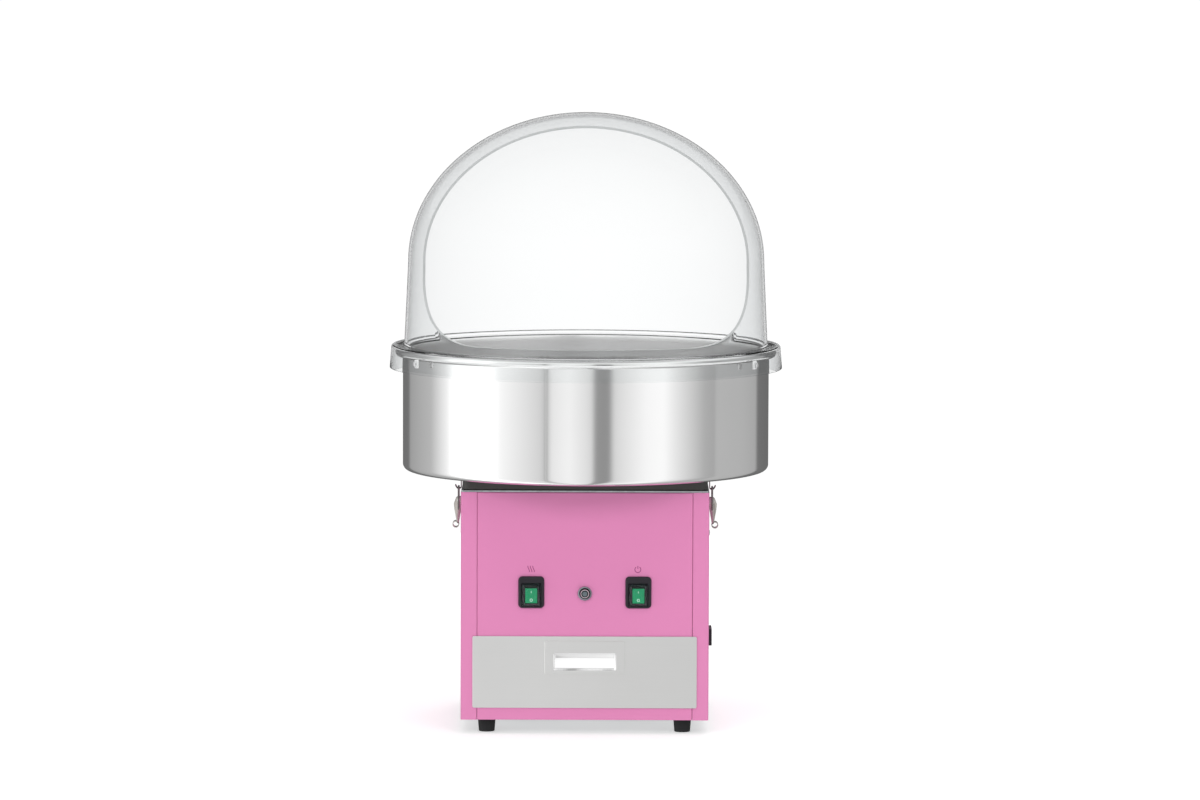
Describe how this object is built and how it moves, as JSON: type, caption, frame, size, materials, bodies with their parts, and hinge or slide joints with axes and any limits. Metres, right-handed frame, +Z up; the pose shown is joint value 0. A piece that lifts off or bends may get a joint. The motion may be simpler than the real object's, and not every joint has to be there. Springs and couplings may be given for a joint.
{
  "type": "cotton candy machine",
  "caption": "Countertop cotton candy machine: cabinet with a drawer, latched steel bowl, clear open-front dome and a belt-driven spinner head.",
  "frame": {"origin": "on the spinner's axis, in the plane of the feet's soles", "axes": "+Z up along the spinner's axis, -Y towards the front with the drawer and switches, +X to the side with the power inlet"},
  "size_m": [0.536, 0.536, 0.83],
  "materials": {
    "pink_enamel": "satin powder coat",
    "stainless": "brushed",
    "chrome": "polished",
    "aluminium": "turned",
    "zinc_steel": "zinc plated",
    "copper": "turned copper",
    "black_rubber": "matt",
    "black_plastic": "matt",
    "bakelite": "matt",
    "carbon": "pressed carbon",
    "green_rocker": "glossy, lit",
    "clear_plastic": "clear polished",
    "white_plastic": "glossy",
    "grey_button": "satin"
  },
  "bodies": {
    "cabinet": {"left_side_panel": "pink_enamel", "right_side_panel": "pink_enamel", "front_panel": "pink_enamel", "rear_panel": "pink_enamel", "top_plate": "stainless", "bowl": "stainless", "catch_plate_left": "stainless", "catch_plate_right": "stainless", "latch_base_left": "stainless", "latch_base_right": "stainless", "breaker_nut": "chrome", "bearing_upper": "chrome", "bearing_lower": "chrome", "spindle_housing": "aluminium", "base_plate": "zinc_steel", "drawer_runner_left": "zinc_steel", "drawer_runner_right": "zinc_steel", "motor_bracket": "zinc_steel", "motor_body": "zinc_steel", "foot_front_left": "black_rubber", "foot_front_right": "black_rubber", "foot_rear_left": "black_rubber", "foot_rear_right": "black_rubber", "drive_belt": "black_rubber", "bowl_seat": "black_plastic", "power_inlet": "black_plastic", "switch_frame_heat": "black_plastic", "switch_frame_power": "black_plastic", "breaker_body": "black_plastic", "brush_holder": "bakelite", "brush_upper": "carbon", "brush_lower": "carbon", "switch_boot_heat": "clear_plastic", "switch_boot_power": "clear_plastic"},
    "spinner": {"spindle": "zinc_steel", "spindle_pulley": "aluminium", "slip_ring_upper": "copper", "slip_ring_lower": "copper", "slip_ring_insulator": "bakelite", "head_pan": "aluminium", "head_heater": "zinc_steel", "head_band": "stainless", "head_cap": "aluminium", "head_nut": "zinc_steel"},
    "motor_rotor": {"motor_shaft": "zinc_steel", "motor_pulley": "aluminium"},
    "drawer": {"drawer_tray": "zinc_steel", "drawer_front": "stainless", "drawer_pull": "stainless"},
    "heat_rocker": {"rocker_heat": "green_rocker"},
    "power_rocker": {"rocker_power": "green_rocker"},
    "reset_button": {"breaker_button": "grey_button"},
    "left_lever": {"latch_lever_left": "stainless"},
    "right_lever": {"latch_lever_right": "stainless"},
    "left_bail": {"latch_bail_left": "stainless"},
    "right_bail": {"latch_bail_right": "stainless"},
    "dome_cover": {"dome": "clear_plastic", "dome_clip_left": "white_plastic", "dome_clip_right": "white_plastic", "dome_clip_rear": "white_plastic"}
  },
  "joints": [
    {"name": "spinner_spin", "type": "hinge", "parent": "cabinet", "child": "spinner", "pos_m": [0, 0, 0.402], "axis": [0, 0, 1], "continuous": true},
    {"name": "motor_spin", "type": "hinge", "parent": "cabinet", "child": "motor_rotor", "pos_m": [0, 0.095, 0.191], "axis": [0, 0, 1], "continuous": true},
    {"name": "drawer_slide", "type": "slide", "parent": "cabinet", "child": "drawer", "axis": [0, -1, 0], "range_m": [0, 0.24]},
    {"name": "dome_lift", "type": "slide", "parent": "cabinet", "child": "dome_cover", "axis": [0, 0, 1], "range_m": [0, 0.12]},
    {"name": "heat_rocker_tilt", "type": "hinge", "parent": "cabinet", "child": "heat_rocker", "pos_m": [-0.072, -0.1665, 0.1876], "axis": [-1, 0, 0], "range_deg": [0, 14]},
    {"name": "power_rocker_tilt", "type": "hinge", "parent": "cabinet", "child": "power_rocker", "pos_m": [0.072, -0.1665, 0.1876], "axis": [-1, 0, 0], "range_deg": [0, 14]},
    {"name": "reset_press", "type": "slide", "parent": "cabinet", "child": "reset_button", "axis": [0, 1, 0], "range_m": [0, 0.0025], "stiffness_N_per_m": 400, "springref_m": -0.002},
    {"name": "left_lever_swing", "type": "hinge", "parent": "cabinet", "child": "left_lever", "pos_m": [-0.1736, 0, 0.299], "axis": [0, 1, 0], "range_deg": [0, 85]},
    {"name": "left_bail_swing", "type": "hinge", "parent": "left_lever", "child": "left_bail", "pos_m": [-0.1736, 0, 0.287], "axis": [0, 1, 0], "range_deg": [-60, 0]},
    {"name": "right_lever_swing", "type": "hinge", "parent": "cabinet", "child": "right_lever", "pos_m": [0.1736, 0, 0.299], "axis": [0, -1, 0], "range_deg": [0, 85]},
    {"name": "right_bail_swing", "type": "hinge", "parent": "right_lever", "child": "right_bail", "pos_m": [0.1736, 0, 0.287], "axis": [0, -1, 0], "range_deg": [-60, 0]}
  ],
  "couplings": [
    {"joint": "motor_spin", "follows": "spinner_spin", "ratio": 2},
    {"joint": "left_bail_swing", "follows": "left_lever_swing", "ratio": -0.7},
    {"joint": "right_bail_swing", "follows": "right_lever_swing", "ratio": -0.7}
  ]
}
